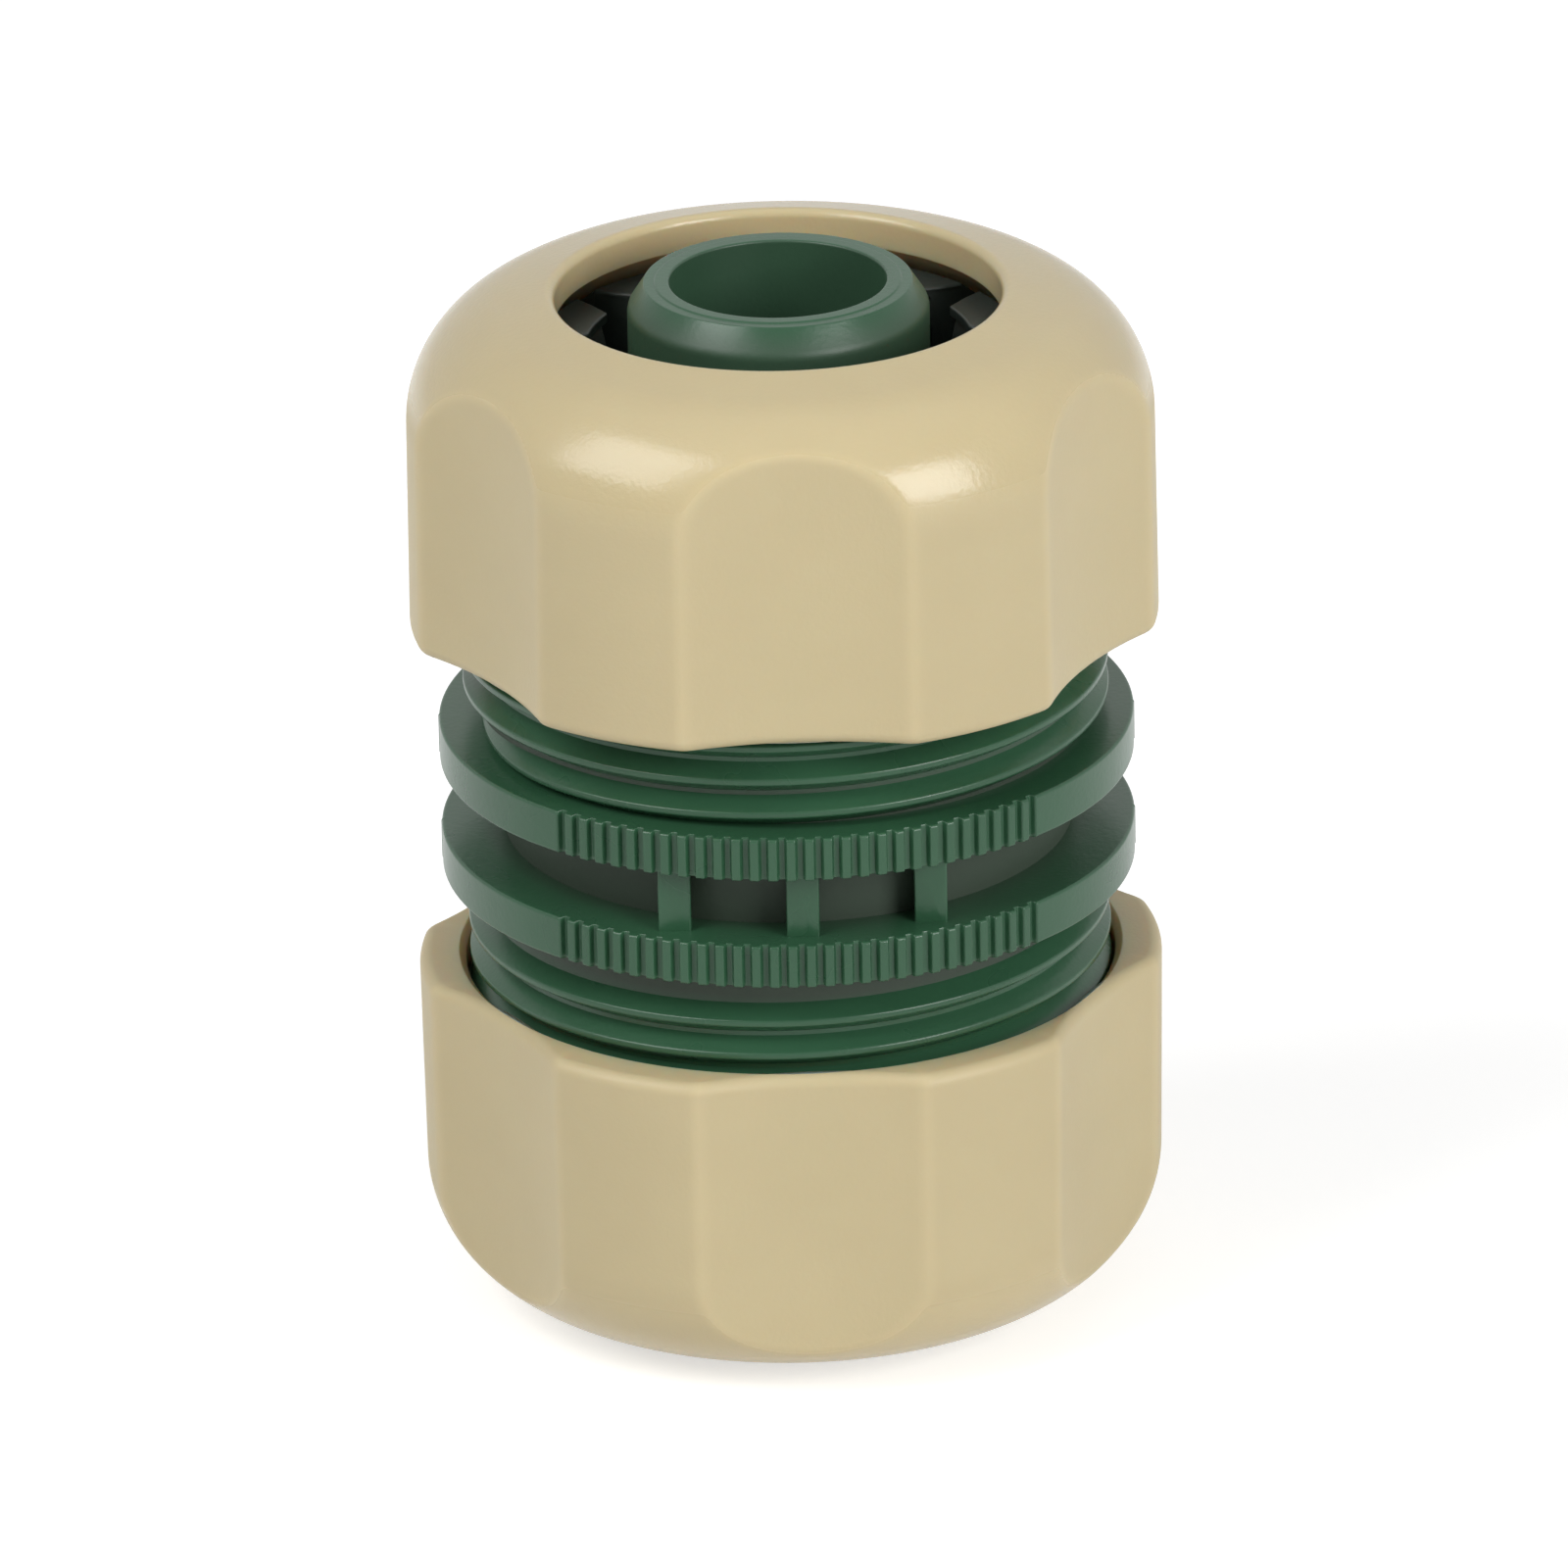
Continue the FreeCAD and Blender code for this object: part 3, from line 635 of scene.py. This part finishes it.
def finger(outline, middle):
    """One finger: the (radius, height) outline repeated across its width. The sides keep the slot's half
    width, wider towards the nose, from the slot's middle plane. Over the edge round the outline shrinks by
    the round less its sine while the side steps in by the round less its cosine."""
    ahead = np.roll(outline, -1, axis=0) - np.roll(outline, 1, axis=0)
    inward = np.stack([-ahead[:, 1], ahead[:, 0]], axis=1) / np.linalg.norm(ahead, axis=1, keepdims=True)
    angle = np.linspace(0, math.pi / 2, edge_points)
    face = np.linspace(-1, 1, finger_face_points + 2)[1:-1]
    shrink = finger_edge * np.concatenate([1 - np.sin(angle), 0 * face, 1 - np.sin(angle[::-1])])
    step_in = finger_edge * np.concatenate([1 - np.cos(angle), 1 + 0 * face, 1 - np.cos(angle[::-1])])
    side = np.concatenate([-np.ones(edge_points), face, np.ones(edge_points)])
    section = outline[None] + inward[None] * shrink[:, None, None]
    radius = section[..., 0]
    flare = np.clip((slot_neck_radius - radius) / (slot_neck_radius - slot_inner_radius), 0, 1) * slot_flare
    half_angle = math.pi / finger_count - np.arcsin((slot_half + flare) / radius)
    azimuth = middle + side[:, None] * (half_angle - step_in[:, None] / radius)
    return np.stack([radius * np.cos(azimuth), radius * np.sin(azimuth), section[..., 1]], axis=-1)


finger_outline = rounded_outline([
    (ring_radius, finger_foot_z, 0.05),
    (ring_radius, finger_shoulder_z, 0.3),
    (finger_tip_radius, finger_tip_z, 0.12),
    (finger_nose_radius, finger_tip_z, 0.12),
    (finger_nose_radius, first_tooth_z, 0.05),
    (finger_root_radius, first_tooth_z, 0.05),
    (finger_nose_radius, second_tooth_z, 0.05),
    (finger_root_radius, second_tooth_z, 0.05),
    (socket_radius, second_tooth_z - finger_tooth_pitch, 0.2),
    (socket_radius, finger_foot_z, 0.05)], step=1.2)
collar_outline = rounded_outline([
    (ring_radius, ring_low_z, 0.2), (ring_radius, ring_slot_z, 0.1),
    (socket_radius, ring_slot_z, 0.1), (socket_radius, ring_low_z, 0.2)], step=1.0)
finger_middles = math.pi / finger_count + np.arange(finger_count) * 2 * math.pi / finger_count
ring_grids = [(turned(collar_outline, around), False)]
ring_grids += [(finger(finger_outline, middle), True) for middle in finger_middles]
add_piece("upper_ring", ring_grids, ring_plastic, "upper_ring", "upper_gripping_ring")
lower_grids = [(over(grid), capped) for grid, capped in ring_grids]
add_piece("lower_ring", lower_grids, ring_plastic, "lower_ring", "lower_gripping_ring")


# Clamp nuts. Beige polypropylene caps with a domed crown. Six shallow scallops give the hand its grip.
# Their floors and the wall are left matte by the mould, the crown is polished, and a little light passes
# through the plastic.
nut_rim_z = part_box("upper_nut")[0][2] / MM
nut_top_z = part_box("upper_nut")[1][2] / MM
nut_rim_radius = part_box("upper_nut")[1][0] / MM
nut_draft = math.radians(0.6)
crown_angle = math.radians(13.7)
crown_round = 6.0
nut_hole_radius = 10.7
hole_round = 0.4
hole_wall = 1.65
rim_round = 0.6
nut_bore_radius = 15.05
nut_cavity_radius = 15.8
nut_cavity_z = 16.59
nut_cone_height = 3.6
nut_mouth_radius = 16.15
nut_mouth_height = 0.35
nut_thread_depth = 0.9
nut_thread_crest_half = 0.06
nut_thread_crest_round = 0.05
nut_thread_turns = 1.25
nut_thread_start_z = thread_start_z + 3 * thread_lead
scallop_count = 6
scallop_radius = 22.0
scallop_depth = 1.56
scallop_draft = math.radians(0.6)
scallop_turn = math.radians(1.9)
scallop_ease = 0.21
nut_columns = 480
skin_step, inside_step = 0.25, 2.0
polish_start = 11.2
polish_fade = 1.2
polish_cut = 0.1
# Painted highlight: a paler band along the scallops' rounded edges, within this reach of where skin and
# scallop cross.
edge_highlight_reach = 1.6 * scallop_ease
crown_roughness = 0.20
wall_roughness = 0.48
skin_scatter = 0.12
inside_scatter = 0.90
scatter_colour = (1.0, 0.5, 0.25)
scatter_depth = 2.0
wall_tint = (0.970, 0.977, 0.995)
# Paler tint of the painted highlight along the scallops' edges.
edge_highlight_tint = (1.07, 1.07, 1.08)

lip_radius = nut_hole_radius + hole_round
draft_slope, crown_slope = math.tan(nut_draft), math.tan(crown_angle)

# The wall leans in by its slope times the height, and the crown drops by its slope times the distance from
# the lip. They cross at the corner.
corner_radius = nut_rim_radius - draft_slope * (nut_top_z - nut_rim_z + lip_radius * crown_slope)
corner_radius /= 1 - crown_slope * draft_slope
corner_z = nut_top_z - (corner_radius - lip_radius) * crown_slope
lip_z = nut_top_z + hole_round * crown_slope
cone_z = nut_top_z - hole_wall
nut_outline = rounded_outline([
    (nut_rim_radius, nut_rim_z, rim_round),
    (corner_radius, corner_z, crown_round),
    (nut_hole_radius, lip_z, hole_round),
    (nut_hole_radius, cone_z, 0.1),
    (nut_bore_radius, cone_z - nut_cone_height, 0.3),
    (nut_bore_radius, nut_cavity_z, 0.2),
    (nut_cavity_radius, nut_cavity_z, 0.3),
    (nut_cavity_radius, nut_rim_z + nut_mouth_height, 0.1),
    (nut_mouth_radius, nut_rim_z, 0.1)], step=[skin_step] * 3 + [inside_step] * 5 + [skin_step])


def eased_cut(skin, scallop):
    """How far the scallop lies inside the skin, eased so that the two meet in a small round: nothing where
    the scallop is outside by more than the ease, their full difference where it is inside by more."""
    inside = skin - scallop
    blend = np.clip((inside + scallop_ease) / (2 * scallop_ease), 0, 1)
    return np.where(inside > scallop_ease, inside, scallop_ease * blend * blend)


def nut_grid(outline):
    """Turned nut whose outer skin is cut back to the scallops, and its shares.

    A scallop is a circle round a far centre that widens with height, so that its floor leans in and runs
    out under the crown. The matte share is one less the polish, which comes in with height and is lost
    where the skin is cut. The edge share, a painted highlight along the scallops' rounded edges, peaks
    where skin and scallop cross. The inside share grows down from the lip.
    """
    azimuths = np.linspace(0, 2 * math.pi, nut_columns, endpoint=False)
    grid = turned(outline, azimuths)
    radius, height = outline[:, :1], outline[:, 1:]
    pitch = 2 * math.pi / scallop_count
    first = -math.pi / 2 + scallop_turn
    off_centre = (azimuths - first + pitch / 2) % pitch - pitch / 2
    centre = nut_rim_radius - scallop_depth + scallop_radius
    circle = scallop_radius + (height - nut_rim_z) * math.tan(scallop_draft)
    scallop = centre * np.cos(off_centre) - np.sqrt(circle ** 2 - (centre * np.sin(off_centre)) ** 2)
    wall = nut_rim_radius - (height - nut_rim_z) * draft_slope
    skin = np.where(height < nut_rim_z + rim_round, wall, radius)
    outer = np.clip((radius - nut_mouth_radius) / (nut_rim_radius - rim_round - nut_mouth_radius), 0, 1)
    outer = np.where(height > nut_rim_z + rim_round, 1.0, outer)
    cut = eased_cut(skin, scallop) * outer
    grid[..., :2] *= 1 - (cut / radius)[..., None]
    polished = np.clip((height - nut_rim_z - polish_start) / polish_fade, 0, 1)
    matte = 1 - polished * np.clip(1 - cut / polish_cut, 0, 1)
    # Painted highlight: the edge share peaks where skin and scallop cross.
    edge = np.clip(1 - np.abs(skin - scallop) / edge_highlight_reach, 0, 1) * outer
    past_lip = np.arange(len(outline))[:, None] > height.argmax()
    inside = past_lip * np.clip((nut_top_z - height) / hole_wall, 0, 1) * np.ones_like(azimuths)
    return grid, matte, edge, inside


nut_plastic = moulded_plastic(
    "nut_plastic", pale=(0.680, 0.568, 0.330), deep=(0.630, 0.520, 0.298),
    grain_size=0.25, grain_height=0.014)
nodes, links = nut_plastic.node_tree.nodes, nut_plastic.node_tree.links
plastic = nodes["Principled BSDF"]
plastic.inputs["Subsurface Radius"].default_value = scatter_colour
plastic.inputs["Subsurface Scale"].default_value = scatter_depth * MM
matte_share = point_share(nodes, "matte")
tone = plastic.inputs["Base Color"].links[0].from_socket
# The matte share tints the wall, and the edge share paints a paler highlight along the scallops' edges.
for share, tint in ((matte_share, wall_tint), (point_share(nodes, "edge"), edge_highlight_tint)):
    tinted = nodes.new("ShaderNodeMix")
    tinted.data_type = "RGBA"
    tinted.blend_type = "MULTIPLY"
    tinted.inputs["B"].default_value = (*tint, 1.0)
    links.new(share, tinted.inputs["Factor"])
    links.new(tone, tinted.inputs["A"])
    tone = tinted.outputs["Result"]
links.new(tone, plastic.inputs["Base Color"])
roughness = ramp(nodes, links, matte_share, crown_roughness, wall_roughness)
links.new(roughness, plastic.inputs["Roughness"])
scatter = ramp(nodes, links, point_share(nodes, "inside"), skin_scatter, inside_scatter)
links.new(scatter, plastic.inputs["Subsurface Weight"])

nut_shell, nut_matte, nut_edge_highlight, nut_inside = nut_grid(nut_outline)
upper_ridge, lower_ridge = (
    ridge(
        nut_cavity_radius, -1, nut_thread_depth, nut_thread_crest_half, 0.0, nut_thread_start_z - drop,
        nut_thread_turns, nut_thread_crest_round)
    for drop in (upper_drop, -lower_drop))
ridge_points = upper_ridge.shape[0] * upper_ridge.shape[1]
nut_shares = {
    "matte": np.concatenate([nut_matte.ravel(), np.ones(ridge_points)]),
    "edge": np.concatenate([nut_edge_highlight.ravel(), np.zeros(ridge_points)]),
    "inside": np.concatenate([nut_inside.ravel(), np.ones(ridge_points)])}
add_piece(
    "upper_clamp_nut", [(nut_shell, False), (upper_ridge, True)], nut_plastic,
    "upper_nut", "upper_nut", nut_shares)
add_piece(
    "lower_clamp_nut", [(over(nut_shell), False), (over(lower_ridge), True)], nut_plastic,
    "lower_nut", "lower_nut", nut_shares)
